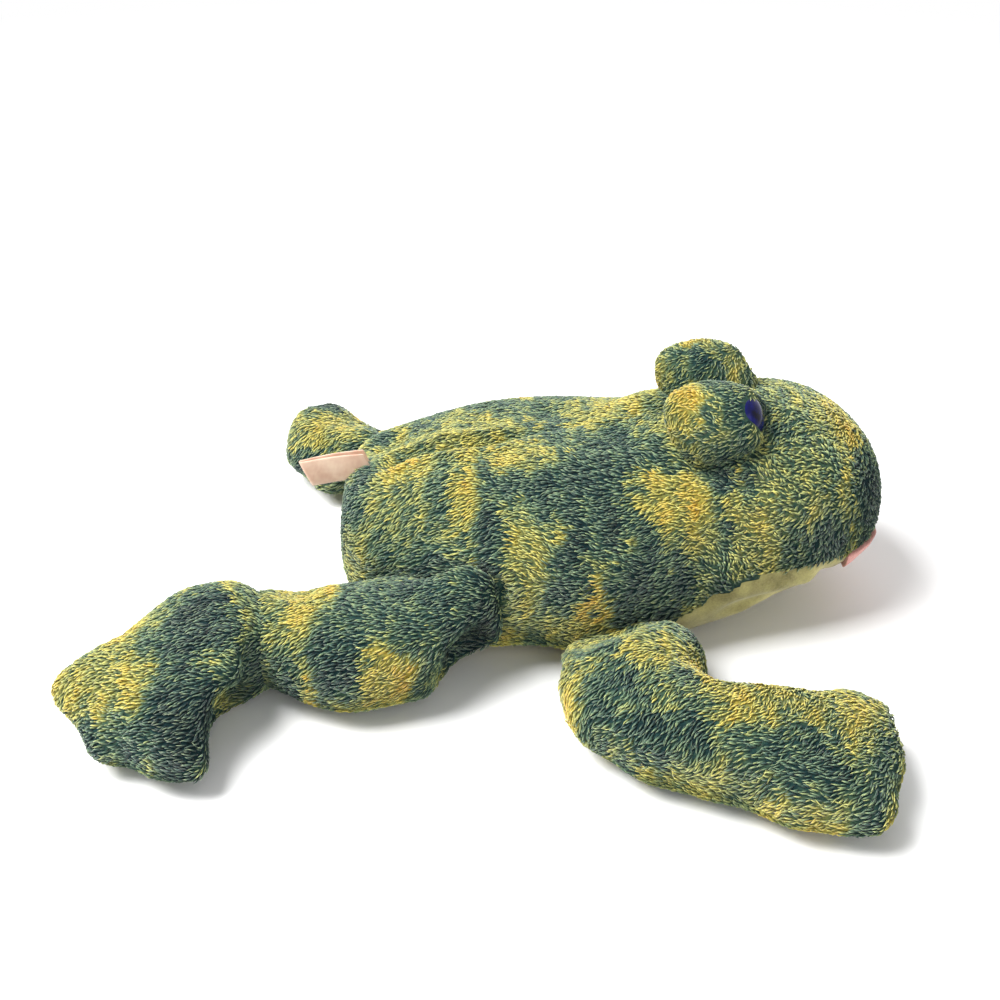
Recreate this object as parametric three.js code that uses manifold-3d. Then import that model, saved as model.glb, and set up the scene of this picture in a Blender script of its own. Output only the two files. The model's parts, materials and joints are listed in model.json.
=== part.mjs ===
// A floppy bean-bag frog in mottled plush, lying on its belly with its limbs spread.
// Head and torso are one bag: two plush back panels meet at the centre back seam and a pale velour panel
// closes them from chin to rump. Each limb is a bag of its own, with an upper and an under panel,
// that hangs on the body by its inner edge, and each hind foot folds sideways at a crease.
// Millimetres. +X is forward, +Y is the frog's left, +Z is up, and the floor is z = 0 under the belly.
import * as THREE from "three";
import { mergeVertices } from "three/addons/utils/BufferGeometryUtils.js";
import Module from "manifold-3d";

const wasm = await Module();
wasm.setup();

// Body
const bodyLength = 149;
const bodyWidth = 96;
const backHeight = 49;
const rumpReach = 44; // from the origin back to the rump
const fibreReach = 66; // from the snout's tip back to where the pellets begin
const plushThickness = 2;
const velourThickness = 1.2;
const seamGap = 0.3; // between two sewn pieces
const fillGap = 0.4; // between a bag and its filling
const restDepth = 0.5; // how deep the floor flattens what lies on it
const cutOverrun = 60; // how far cutting blocks run past what they cut

// Forelegs
const forelegReach = 92;
const forelegWidth = 38;
const forelegThickness = 24;
const shoulderReach = 31; // ahead from the origin to the middle of the leg's seam
const shoulderHeight = 17;
const shoulderRise = 40; // degrees
const shoulderDroop = 25; // degrees

// Hind legs and feet
const hindLegReach = 66;
const hindLegWidth = 37;
const hindLegThickness = 28;
const hipReach = 20; // back from the origin to the middle of the leg's seam
const hipHeight = 20;
const hipRise = 35; // degrees
const hipDroop = 20; // degrees
const heelRadius = 13; // of the round end that the shank fits into the foot with
const ankleSwing = { right: [-30, 30], left: [-50, 10] }; // degrees; the left foot lies folded inwards
const footReach = 50;
const footWidth = 48;
const footThickness = 22;
const toeDepth = 2.4; // how far the toes stand out of the paw's edge

// Eyes
const domeRadius = 11.8;
const domeReach = 55.5;
const domeSpacing = 25;
const domeHeight = 56;
const eyeRadius = 5.6;
const eyeBulgeHeight = 3.6;
const eyeSinkDepth = 1.4; // how far the eye's back presses into the dome
const shankRadius = 1.3;
const shankLength = 5.4;
const washerRadius = 3.6;
const washerThickness = 1;

// Mouth
const mouthHeight = 7;
const mouthReach = 13; // from the snout's tip back to the corners
const mouthPoutDepth = 0.8; // how far the felt stands out of the lips
const feltThickness = 1.2;

// Label, bare
const labelLength = 13.5;
const labelWidth = 9;
const labelThickness = 0.35;
const labelFoldRadius = 0.3; // inner radius where the tape turns back
const labelHeight = 35;
const labelSwayReach = 3.6; // how far the loose end hangs to the right
const labelDroopDepth = 1; // how far it hangs down

const degree = Math.PI / 180;
const sideSign = { right: -1, left: 1 };

// A share read off rows of { at, key }, on a smooth curve through them.
function readShare(rows, at, key) {
  const last = rows.length - 1;
  let k = 0;
  while (k < last - 1 && at > rows[k + 1].at) k += 1;
  const slope = (i) => {
    const before = rows[Math.max(i - 1, 0)];
    const after = rows[Math.min(i + 1, last)];
    return (after[key] - before[key]) / (after.at - before.at);
  };
  const [a, b] = [rows[k], rows[k + 1]];
  const span = b.at - a.at;
  const t = Math.min(Math.max((at - a.at) / span, 0), 1);
  const [t2, t3] = [t * t, t * t * t];
  return (
    a[key] * (2 * t3 - 3 * t2 + 1) +
    slope(k) * span * (t3 - 2 * t2 + t) +
    b[key] * (3 * t2 - 2 * t3) +
    slope(k + 1) * span * (t3 - t2)
  );
}

// How far a rounded bag has opened at share `at` of its length: 0 at both ends, 1 between.
function opened(at, startPower, endPower = startPower) {
  const power = at < 0.5 ? startPower : endPower;
  return (1 - Math.abs(2 * at - 1) ** power) ** (1 / power);
}

function bent(value, power) {
  return Math.sign(value) * Math.abs(value) ** power;
}

// A closed skin over rings of equal count, with a point at each end.
function skinOver(rings, firstPoint, lastPoint) {
  const count = rings[0].length;
  const points = [firstPoint, ...rings.flat(), lastPoint];
  const faces = [];
  for (let j = 0; j < count; j += 1) {
    const next = (j + 1) % count;
    faces.push(0, 1 + next, 1 + j);
    for (let i = 0; i < rings.length - 1; i += 1) {
      const here = 1 + i * count;
      const there = here + count;
      faces.push(here + j, here + next, there + j);
      faces.push(there + j, here + next, there + next);
    }
    const end = 1 + (rings.length - 1) * count;
    faces.push(end + j, end + next, points.length - 1);
  }
  return new THREE.BufferGeometry().setFromPoints(points).setIndex(faces);
}

// A three.js geometry as a solid that can be cut and joined.
function solid(geometry) {
  const bare = geometry.clone();
  bare.deleteAttribute("normal");
  bare.deleteAttribute("uv");
  const merged = mergeVertices(bare);
  const corners = merged.index.array;
  const toManifold = () =>
    new wasm.Manifold(
      new wasm.Mesh({
        numProp: 3,
        vertProperties: new Float32Array(merged.attributes.position.array),
        triVerts: new Uint32Array(corners),
      }),
    );
  const made = toManifold();
  if (made.volume() >= 0) return made;
  for (let i = 0; i < corners.length; i += 3) {
    [corners[i], corners[i + 1]] = [corners[i + 1], corners[i]];
  }
  return toManifold();
}

// The largest closed piece of a solid, as a geometry.
function geometryOf(made) {
  const [largest] = made.decompose().sort((a, b) => b.volume() - a.volume());
  const mesh = largest.getMesh();
  const geometry = new THREE.BufferGeometry();
  geometry.setAttribute("position", new THREE.BufferAttribute(mesh.vertProperties, 3));
  geometry.setIndex(new THREE.BufferAttribute(mesh.triVerts, 1));
  geometry.computeVertexNormals();
  return geometry;
}

function turned(made, pivot, axis, angle) {
  const turn = new THREE.Matrix4().makeTranslation(pivot.x, pivot.y, pivot.z);
  turn.multiply(new THREE.Matrix4().makeRotationAxis(axis, angle));
  turn.multiply(new THREE.Matrix4().makeTranslation(-pivot.x, -pivot.y, -pivot.z));
  return made.transform(turn.toArray());
}

// The space that `made` fills as it turns between two angles about a line at its edge.
// It reaches further round that line than it turns, so its end positions and its rest cover the rest.
function swept(made, pivot, axis, low, high) {
  const at = (angle) => turned(made, pivot, axis, angle * degree);
  return made.add(at(low)).add(at(high));
}

function block(from, to) {
  const size = to.clone().sub(from);
  const middle = from.clone().add(to).divideScalar(2);
  return solid(new THREE.BoxGeometry(size.x, size.y, size.z).translate(middle.x, middle.y, middle.z));
}

// Half of all space: what lies beyond `at` along x, y or z, or short of it.
function halfSpace(along, at, beyond) {
  const far = bodyLength + cutOverrun;
  const from = new THREE.Vector3(-far, -far, -far);
  const to = new THREE.Vector3(far, far, far);
  (beyond ? from : to)[along] = at;
  return block(from, to);
}

// The body bag

const bodySteps = 22;
const bodySides = 26;
const fillSteps = 12;
const fillSides = 14;

// Shares of half the width, and of the back's height for the top, the widest line, the underside and seam.
const bodyRowShares = [
  { at: 0, wide: 0.86, top: 0.88, mid: 0.44, under: 0.05, seam: 0.26 },
  { at: 0.12, wide: 0.84, top: 0.88, mid: 0.42, under: 0, seam: 0.15 },
  { at: 0.28, wide: 0.96, top: 0.95, mid: 0.38, under: 0, seam: 0.11 },
  { at: 0.42, wide: 1, top: 0.98, mid: 0.36, under: 0, seam: 0.1 },
  { at: 0.55, wide: 0.93, top: 1, mid: 0.4, under: 0, seam: 0.12 },
  { at: 0.66, wide: 0.8, top: 1.08, mid: 0.46, under: 0, seam: 0.33 },
  { at: 0.76, wide: 0.77, top: 1.22, mid: 0.56, under: 0.07, seam: 0.48 },
  { at: 0.88, wide: 0.77, top: 1.26, mid: 0.62, under: 0.19, seam: 0.5 },
  { at: 1, wide: 0.72, top: 1.16, mid: 0.62, under: 0.33, seam: 0.5 },
];
const rumpPowerShare = 4.2; // how square each end is
const snoutPowerShare = 2.8;
const upperPowerShare = 0.9; // how square the bags are above their widest line
const lowerPowerShare = 0.55;

const bodyShare = (at, key) => readShare(bodyRowShares, at, key);
const bodyX = (at) => at * bodyLength - rumpReach;
const shareAtX = (x) => (x + rumpReach) / bodyLength;
const seamHeight = (at) => bodyShare(at, "seam") * backHeight;

// The bag's section at share `at` of its length: half width, widest line, and reach above and below it.
function bodySection(at) {
  const open = opened(at, rumpPowerShare, snoutPowerShare);
  const mid = bodyShare(at, "mid") * backHeight;
  return {
    half: (bodyShare(at, "wide") * open * bodyWidth) / 2,
    mid,
    rise: (bodyShare(at, "top") * backHeight - mid) * open,
    fall: (mid - bodyShare(at, "under") * backHeight + restDepth) * open,
  };
}

// The bag drawn in by `inset`, or grown where that is negative.
function bodySolid(inset, steps = bodySteps, sides = bodySides) {
  const point = (at, around) => {
    const { half, mid, rise, fall } = bodySection(at);
    const drawn = (size) => Math.max(size - inset, 0);
    const [c, s] = [Math.cos(around), Math.sin(around)];
    const power = s >= 0 ? upperPowerShare : lowerPowerShare;
    const x = THREE.MathUtils.lerp(bodyX(0) + inset, bodyX(1) - inset, at);
    const z = mid + bent(s, power) * drawn(s >= 0 ? rise : fall);
    return new THREE.Vector3(x, bent(c, power) * drawn(half), Math.max(z, inset));
  };
  const rings = [];
  for (let i = 1; i < steps; i += 1) {
    const at = (1 - Math.cos((Math.PI * i) / steps)) / 2;
    rings.push(Array.from({ length: sides }, (_, j) => point(at, (2 * Math.PI * j) / sides)));
  }
  return solid(skinOver(rings, point(0, 0).setY(0), point(1, 0).setY(0)));
}

// Everything below the side seam raised by `lift`, from x = `from` forwards.
function belowSeam(lift, from) {
  const steps = 20;
  const start = Math.max(shareAtX(from), 0);
  const outline = new THREE.Shape();
  outline.moveTo(from, -cutOverrun);
  outline.lineTo(from, seamHeight(start) + lift);
  for (let i = from < bodyX(0) ? 0 : 1; i <= steps; i += 1) {
    const at = THREE.MathUtils.lerp(start, 1, i / steps);
    outline.lineTo(bodyX(at), seamHeight(at) + lift);
  }
  outline.lineTo(bodyX(1) + cutOverrun, seamHeight(1) + lift);
  outline.lineTo(bodyX(1) + cutOverrun, -cutOverrun);
  const depth = bodyWidth + cutOverrun;
  const cutter = new THREE.ExtrudeGeometry(outline, { depth, bevelEnabled: false });
  return solid(cutter.rotateX(Math.PI / 2).translate(0, depth / 2, 0));
}

const behindRump = bodyX(0) - cutOverrun;
const bodyOuter = bodySolid(0);
const bodyGrown = bodySolid(-seamGap);

// Limb seams: a limb swings about a level line that touches the body's side at the middle of its seam

function bodySide(x, z) {
  const { half, mid, rise, fall } = bodySection(shareAtX(x));
  const power = z >= mid ? upperPowerShare : lowerPowerShare;
  const s = Math.min(Math.abs(z - mid) / (z >= mid ? rise : fall), 1) ** (1 / power);
  return half * Math.sqrt(1 - s * s) ** power;
}

function seamLine(side, ahead, height) {
  const probe = plushThickness;
  const sign = sideSign[side];
  const slope = (bodySide(ahead + probe, height) - bodySide(ahead - probe, height)) / (2 * probe);
  const axis = new THREE.Vector3(sign, slope, 0).normalize();
  const pivot = new THREE.Vector3(ahead, sign * (bodySide(ahead, height) + seamGap), height);
  return { pivot, axis };
}

// Limbs: bags lofted along a bent line on the floor

const limbSteps = 14;
const limbSides = 14;
const limbFillSteps = 9;
const limbFillSides = 10;
const toeCount = 3;

// The bag drawn in by `inset`, its thickness and width read from its rows along its middle line.
function limbSolid(limb, inset, steps = limbSteps, sides = limbSides) {
  const { path, rows, width, thickness, powerShares, toed } = limb;
  const length = path.getLength();
  const thick = (at) => (readShare(rows, at, "thick") * thickness) / 2;
  const place = (at, across, up) => {
    const run = THREE.MathUtils.lerp(inset / length, 1 - inset / length, at);
    const point = path.getPointAt(THREE.MathUtils.clamp(run, 0, 1));
    const along = path.getTangentAt(THREE.MathUtils.clamp(run, 0, 1));
    const side = new THREE.Vector3(along.y, -along.x, 0);
    const wave = Math.cos((2 * Math.PI * toeCount * across) / width);
    const toe = toed ? (toeDepth / 2) * wave * at ** (2 * toeCount) : 0;
    return point.addScaledVector(side, across).addScaledVector(along, toe).setZ(up);
  };
  const rings = [];
  for (let i = 1; i < steps; i += 1) {
    const at = (1 - Math.cos((Math.PI * i) / steps)) / 2;
    const open = opened(at, ...powerShares);
    const least = open * seamGap;
    const half = Math.max((readShare(rows, at, "wide") * open * width) / 2 - inset, least);
    const high = Math.max(thick(at) * open - inset, least);
    const ring = [];
    for (let j = 0; j < sides; j += 1) {
      const around = (2 * Math.PI * j) / sides;
      const up = thick(at) - restDepth + bent(Math.sin(around), upperPowerShare) * high;
      ring.push(place(at, bent(Math.cos(around), upperPowerShare) * half, Math.max(up, inset)));
    }
    rings.push(ring);
  }
  return solid(skinOver(rings, place(0, 0, thick(0) - restDepth), place(1, 0, thick(1) - restDepth)));
}

const forelegRowShares = [
  { at: 0, wide: 0.98, thick: 0.95 },
  { at: 0.25, wide: 0.98, thick: 1 },
  { at: 0.5, wide: 0.92, thick: 1 },
  { at: 0.75, wide: 1.02, thick: 0.96 },
  { at: 1, wide: 1.25, thick: 0.86 },
];
const hindLegRowShares = [
  { at: 0, wide: 0.84, thick: 0.96 },
  { at: 0.3, wide: 1, thick: 1 },
  { at: 0.55, wide: 1, thick: 0.96 },
  { at: 0.8, wide: 0.85, thick: 0.88 },
  { at: 1, wide: 0.78, thick: 0.86 },
];
const footRowShares = [
  { at: 0, wide: 0.72, thick: 1.16 },
  { at: 0.3, wide: 0.78, thick: 1.2 },
  { at: 0.6, wide: 0.94, thick: 1.06 },
  { at: 0.85, wide: 1.04, thick: 0.94 },
  { at: 1, wide: 1.08, thick: 0.84 },
];

// Middle lines as shares of the reach, ahead of and out from the middle of the limb's seam.
const forelegLineShares = {
  right: [
    [0.02, -0.14],
    [0, 0.08],
    [0.05, 0.3],
    [0.2, 0.42],
    [0.42, 0.45],
    [0.66, 0.49],
  ],
  left: [
    [-0.04, -0.16],
    [0.02, 0.04],
    [0.2, 0.14],
    [0.5, 0.14],
    [0.8, 0.1],
  ],
};
const hindLegLineShares = {
  right: [
    [0.34, 0.02],
    [0.08, 0.1],
    [-0.22, 0.16],
    [-0.5, 0.11],
    [-0.82, 0],
  ],
  left: [
    [0.51, 0.08],
    [0.3, 0.13],
    [0.11, 0.12],
    [-0.14, 0.05],
  ],
};
const footSplay = { right: 50, left: 20 }; // degrees out from straight back

function flatLine(shares, reach, pivot, side) {
  const place = ([ahead, out]) =>
    new THREE.Vector3(pivot.x + ahead * reach, pivot.y + sideSign[side] * out * reach, 0);
  return new THREE.CatmullRomCurve3(shares.map(place));
}

function limbsOf(side) {
  const shoulder = seamLine(side, shoulderReach, shoulderHeight);
  const hip = seamLine(side, -hipReach, hipHeight);
  const foreleg = {
    path: flatLine(forelegLineShares[side], forelegReach, shoulder.pivot, side),
    rows: forelegRowShares,
    width: forelegWidth,
    thickness: forelegThickness,
    powerShares: [2.6, 3.2],
    toed: true,
  };
  const hindLeg = {
    path: flatLine(hindLegLineShares[side], hindLegReach, hip.pivot, side),
    rows: hindLegRowShares,
    width: hindLegWidth,
    thickness: hindLegThickness,
    powerShares: [2.4, 2.4],
  };
  const pivot = hindLeg.path.getPointAt(1 - heelRadius / hindLeg.path.getLength());
  const splay = footSplay[side] * degree;
  const back = new THREE.Vector3(-Math.cos(splay), sideSign[side] * Math.sin(splay), 0);
  const foot = {
    path: new THREE.LineCurve3(pivot, pivot.clone().addScaledVector(back, footReach)),
    rows: footRowShares,
    width: footWidth,
    thickness: footThickness,
    powerShares: [3.2, 3.6],
    toed: true,
  };
  return { shoulder, hip, ankle: { pivot, axis: new THREE.Vector3(0, 0, 1) }, foreleg, hindLeg, foot };
}

// The toy

const frog = new THREE.Group();

const material = (color, roughness) => new THREE.MeshStandardMaterial({ color, roughness, metalness: 0 });
const goldPlush = material(0xa09a4c, 1);
const tealPlush = material(0x55705c, 1);
const velour = material(0xb9af69, 0.95);
const pinkFelt = material(0xd7a096, 1);
const satin = material(0xf0cdb4, 0.5);
const glossyPlastic = material(0x0b0d1c, 0.08);
const washerPlastic = material(0xe8e4d8, 0.5);
const pellets = material(0xdedad0, 0.6);
const fibre = material(0xf4f2ec, 1);

function addPiece(name, made, look) {
  const mesh = new THREE.Mesh(geometryOf(made), look);
  mesh.name = name;
  frog.add(mesh);
}

// The round that the shank's end keeps within as the foot turns about the ankle.
function heel(hindLeg, ankle, grown) {
  const high = (readShare(hindLeg.rows, 1, "thick") * hindLeg.thickness) / 2;
  const profile = [];
  const steps = 8;
  for (let i = 0; i <= steps; i += 1) {
    const turn = (Math.PI * i) / steps - Math.PI / 2;
    const across = i % steps === 0 ? 0 : bent(Math.cos(turn), upperPowerShare) * (heelRadius + grown);
    const up = bent(Math.sin(turn), upperPowerShare) * (high + grown);
    profile.push(new THREE.Vector2(across, high - restDepth + up));
  }
  const round = new THREE.LatheGeometry(profile, 20).rotateX(Math.PI / 2);
  return solid(round.translate(ankle.pivot.x, ankle.pivot.y, 0));
}

// A limb's two panels and its pellets. `spaceTaken(grown)` is what the bag must stay clear of, grown so far.
function addLimb(name, side, limb, spaceTaken) {
  const bag = limbSolid(limb, 0).subtract(spaceTaken(seamGap));
  const core = (inset) => {
    const inside = limbSolid(limb, inset, limbFillSteps, limbFillSides);
    return inside.subtract(spaceTaken(seamGap + inset));
  };
  const cloth = bag.subtract(core(plushThickness));
  const edge = (limb.thickness * 0.9) / 2 - restDepth;
  addPiece(`${name}_upper_${side}`, cloth.intersect(halfSpace("z", edge + seamGap / 2, true)), tealPlush);
  addPiece(`${name}_under_${side}`, cloth.intersect(halfSpace("z", edge - seamGap / 2, false)), tealPlush);
  addPiece(`${name}_pellets_${side}`, core(plushThickness + fillGap), pellets);
}

for (const side of ["right", "left"]) {
  const { shoulder, hip, ankle, foreleg, hindLeg, foot } = limbsOf(side);
  const bodyFrom = (grown, seam, rise, droop) =>
    swept(bodySolid(-grown), seam.pivot, seam.axis, -rise, droop);
  const [low, high] = ankleSwing[side];
  const byFoot = (made) => swept(made, ankle.pivot, ankle.axis, -high, -low);
  addLimb("foreleg", side, foreleg, (grown) => bodyFrom(grown, shoulder, shoulderRise, shoulderDroop));
  addLimb("hind_leg", side, hindLeg, (grown) => bodyFrom(grown, hip, hipRise, hipDroop));
  addLimb("hind_foot", side, foot, (grown) =>
    byFoot(limbSolid(hindLeg, -grown))
      .add(heel(hindLeg, ankle, grown))
      .add(byFoot(bodyFrom(grown, hip, hipRise, hipDroop))),
  );
}

// Eye domes: small plush bags on top of the head, each with an eye whose shank passes through the cloth

function eyeOf(side) {
  const aimOut = 18 * degree * sideSign[side];
  const aimUp = 22 * degree;
  const level = Math.cos(aimUp);
  return {
    centre: new THREE.Vector3(domeReach, (sideSign[side] * domeSpacing) / 2, domeHeight),
    aim: new THREE.Vector3(level * Math.cos(aimOut), level * Math.sin(aimOut), Math.sin(aimUp)),
  };
}

function ball(centre, radius, segments) {
  const sphere = new THREE.SphereGeometry(radius, segments, Math.ceil((segments * 2) / 3));
  return solid(sphere.translate(centre.x, centre.y, centre.z));
}

// A profile of [radius, reach from the dome's centre] turned about the line that the eye looks along.
function onEyeLine(eye, profile) {
  const around = 16;
  const points = profile.map(([radius, reach]) => new THREE.Vector2(radius, reach));
  const turn = new THREE.Quaternion().setFromUnitVectors(new THREE.Vector3(0, 1, 0), eye.aim);
  const lathe = new THREE.LatheGeometry(points, around).applyQuaternion(turn);
  return solid(lathe.translate(eye.centre.x, eye.centre.y, eye.centre.z));
}

const post = (radius, from, to) => [
  [0, from],
  [radius, from],
  [radius, to],
  [0, to],
];

for (const side of ["right", "left"]) {
  const eye = eyeOf(side);
  const innerRadius = domeRadius - plushThickness;
  const seat = domeRadius - eyeSinkDepth;
  const shankEnd = seat - shankLength;
  const domeSegments = 18;
  const innerSegments = 12;
  const facetShare = Math.cos(Math.PI / innerSegments) ** 2; // how far in the middle of a facet lies
  const washerFace = Math.sqrt((innerRadius * facetShare) ** 2 - washerRadius ** 2) - seamGap;
  const washerBack = washerFace - washerThickness;

  const hollow = ball(eye.centre, innerRadius, innerSegments);
  const pocket = onEyeLine(eye, post(eyeRadius + seamGap, seat - seamGap, domeRadius + cutOverrun));
  const bore = onEyeLine(eye, post(shankRadius + seamGap, shankEnd, domeRadius));
  const dome = ball(eye.centre, domeRadius, domeSegments).subtract(hollow);
  addPiece(`eye_dome_${side}`, dome.subtract(bodyGrown).subtract(pocket).subtract(bore), tealPlush);

  const arcSteps = 6;
  const front = Array.from({ length: arcSteps }, (_, i) => {
    const turn = (Math.PI / 2) * ((i + 1) / arcSteps);
    return [i + 1 === arcSteps ? 0 : eyeRadius * Math.cos(turn), seat + eyeBulgeHeight * Math.sin(turn)];
  });
  const bead = [[0, shankEnd], [shankRadius, shankEnd], [shankRadius, seat], [eyeRadius, seat], ...front];
  addPiece(`eye_${side}`, onEyeLine(eye, bead), glossyPlastic);

  const washer = onEyeLine(eye, post(washerRadius, washerBack, washerFace));
  addPiece(`eye_washer_${side}`, washer.subtract(bore), washerPlastic);

  const wad = ball(eye.centre, innerRadius - fillGap, innerSegments);
  const room = onEyeLine(eye, post(washerRadius + fillGap, shankEnd - fillGap, domeRadius));
  addPiece(`eye_dome_fibre_${side}`, wad.subtract(bodyGrown).subtract(room), fibre);
}

// Body panels, with the felt mouth let in under the front of the side seam

const mouthFrom = bodyX(1) - mouthReach;
const mouthBand = (low, high, from) => belowSeam(high, from).subtract(belowSeam(low, behindRump));

// The label: a bare tape folded back on itself, its ends sewn into the centre back seam at the rump.
// Its sewn edge follows the rump's curve, and its loose edge stands upright.

function rumpAt(height) {
  let [low, high] = [0, 0.3];
  for (let i = 0; i < 40; i += 1) {
    const at = (low + high) / 2;
    const { mid, rise } = bodySection(at);
    if (mid + rise < height) low = at;
    else high = at;
  }
  return bodyX(low);
}

function labelSolid(around) {
  const steps = 7;
  const arcSteps = 4;
  const rump = rumpAt(labelHeight);
  const root = plushThickness;
  const middle = (t) => {
    const loose = Math.max(t * (labelLength + root) - root, 0) / labelLength;
    return new THREE.Vector2(rump + root - t * (labelLength + root), -labelSwayReach * loose * loose);
  };
  const side = (offset) =>
    Array.from({ length: steps + 1 }, (_, i) => {
      const t = i / steps;
      const nearby = 1 / (steps * steps);
      const along = middle(t + nearby).sub(middle(t)).normalize();
      return middle(t).add(new THREE.Vector2(-along.y, along.x).multiplyScalar(offset));
    });
  const end = middle(1);
  const turnAt = (radius) =>
    Array.from({ length: arcSteps - 1 }, (_, i) => {
      const last = side(radius)[steps].sub(end);
      return last.rotateAround(new THREE.Vector2(), (-Math.PI * (i + 1)) / arcSteps).add(end);
    });
  const outside = labelFoldRadius + labelThickness + around;
  const loop = [...side(outside), ...turnAt(outside), ...side(-outside).reverse()];
  if (around === 0) {
    const inside = labelFoldRadius;
    loop.push(...side(-inside), ...turnAt(inside).reverse(), ...side(inside).reverse());
  }
  const depth = labelWidth + 2 * around;
  const tape = new THREE.ExtrudeGeometry(new THREE.Shape(loop), { depth, bevelEnabled: false });
  tape.translate(0, 0, labelHeight - depth / 2);
  const places = tape.attributes.position;
  for (let i = 0; i < places.count; i += 1) {
    const [x, z] = [places.getX(i), places.getZ(i)];
    const loose = THREE.MathUtils.clamp((rump - x) / labelLength, 0, 1);
    places.setX(i, x + (rumpAt(z) - rump) * (1 - loose));
    places.setZ(i, z - labelDroopDepth * loose);
  }
  return solid(tape);
}

const slot = labelSolid(seamGap);
const plushShell = bodyOuter.subtract(bodySolid(plushThickness, fillSteps, fillSides)).subtract(slot);
const back = plushShell.subtract(belowSeam(seamGap / 2, behindRump));
addPiece("back_panel_right", back.intersect(halfSpace("y", -seamGap / 2, false)), goldPlush);
addPiece("back_panel_left", back.intersect(halfSpace("y", seamGap / 2, true)), goldPlush);

const velourShell = bodyOuter.subtract(bodySolid(velourThickness, fillSteps, fillSides));
const belly = velourShell.intersect(belowSeam(-seamGap / 2, behindRump));
const mouthRoom = mouthBand(-mouthHeight - seamGap, 0, mouthFrom - seamGap);
addPiece("belly_panel", belly.subtract(mouthRoom), velour);

const feltShell = bodySolid(-mouthPoutDepth).subtract(bodySolid(feltThickness, fillSteps, fillSides));
addPiece("mouth_felt", feltShell.intersect(mouthBand(-mouthHeight, -seamGap / 2, mouthFrom)), pinkFelt);

const filling = bodySolid(plushThickness + fillGap, fillSteps, fillSides);
const fibreFrom = bodyX(1) - fibreReach;
addPiece("head_fibre", filling.intersect(halfSpace("x", fibreFrom + seamGap / 2, true)), fibre);
addPiece("belly_pellets", filling.intersect(halfSpace("x", fibreFrom - seamGap / 2, false)), pellets);

addPiece("care_label", labelSolid(0), satin);

export default frog;
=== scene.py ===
import json
import math

import bpy
import numpy as np
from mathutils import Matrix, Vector
from mathutils.bvhtree import BVHTree

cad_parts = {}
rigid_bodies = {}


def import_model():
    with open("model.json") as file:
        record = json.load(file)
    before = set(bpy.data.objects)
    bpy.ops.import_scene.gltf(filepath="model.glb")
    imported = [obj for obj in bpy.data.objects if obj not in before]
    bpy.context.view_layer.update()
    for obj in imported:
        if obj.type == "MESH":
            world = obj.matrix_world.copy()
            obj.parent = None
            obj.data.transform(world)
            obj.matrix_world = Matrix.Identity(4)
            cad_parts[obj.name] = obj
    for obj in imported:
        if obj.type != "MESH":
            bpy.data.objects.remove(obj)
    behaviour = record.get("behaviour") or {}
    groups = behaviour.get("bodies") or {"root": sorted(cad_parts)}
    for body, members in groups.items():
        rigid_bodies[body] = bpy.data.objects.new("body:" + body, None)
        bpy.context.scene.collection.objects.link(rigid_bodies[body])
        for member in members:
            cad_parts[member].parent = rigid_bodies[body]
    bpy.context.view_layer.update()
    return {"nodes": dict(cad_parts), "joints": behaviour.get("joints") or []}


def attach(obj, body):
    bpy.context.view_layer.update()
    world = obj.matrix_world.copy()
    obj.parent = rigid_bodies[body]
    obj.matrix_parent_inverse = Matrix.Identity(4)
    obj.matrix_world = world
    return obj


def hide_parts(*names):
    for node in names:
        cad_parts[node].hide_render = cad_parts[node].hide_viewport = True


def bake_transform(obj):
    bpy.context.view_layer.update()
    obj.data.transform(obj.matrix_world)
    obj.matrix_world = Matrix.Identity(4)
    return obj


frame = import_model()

mm = 0.001
nodes = frame["nodes"]
scene = bpy.context.scene
scene.view_settings.view_transform = "Standard"
pivots = {joint["name"]: Vector(joint["pos_m"]) for joint in frame["joints"]}
sides = {"right": -1, "left": 1}
print("frame loaded:", len(nodes), "nodes")


# Camera at the photograph's angle
cameraSetup = {"place": (0, -322, 226), "down": 32, "lens": 48.6, "sensor": 36, "near": 10}

bpy.ops.object.camera_add(location=[c * mm for c in cameraSetup["place"]],
                          rotation=(math.radians(90 - cameraSetup["down"]), 0, 0))
camera = bpy.context.object
camera.name = "photoCamera"
camera.data.lens = cameraSetup["lens"]
camera.data.sensor_width = cameraSetup["sensor"]
camera.data.clip_start = cameraSetup["near"] * mm
scene.camera = camera


# Colours and materials
def paint(red, green, blue):
    def plain(c):
        c = c / 255
        return c / 12.92 if c <= 0.04045 else ((c + 0.055) / 1.055) ** 2.4
    return (plain(red), plain(green), plain(blue), 1)


class Wire:
    # a node's output that Python's own signs work on
    def __init__(self, bench, socket):
        self.bench = bench
        self.socket = socket

    def maths(self, operation, *values):
        return self.bench.add("ShaderNodeMath", {"operation": operation}, dict(enumerate(values)))

    def __add__(self, other): return self.maths("ADD", self, other)
    def __radd__(self, other): return self.maths("ADD", other, self)
    def __sub__(self, other): return self.maths("SUBTRACT", self, other)
    def __rsub__(self, other): return self.maths("SUBTRACT", other, self)
    def __mul__(self, other): return self.maths("MULTIPLY", self, other)
    def __rmul__(self, other): return self.maths("MULTIPLY", other, self)


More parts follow.
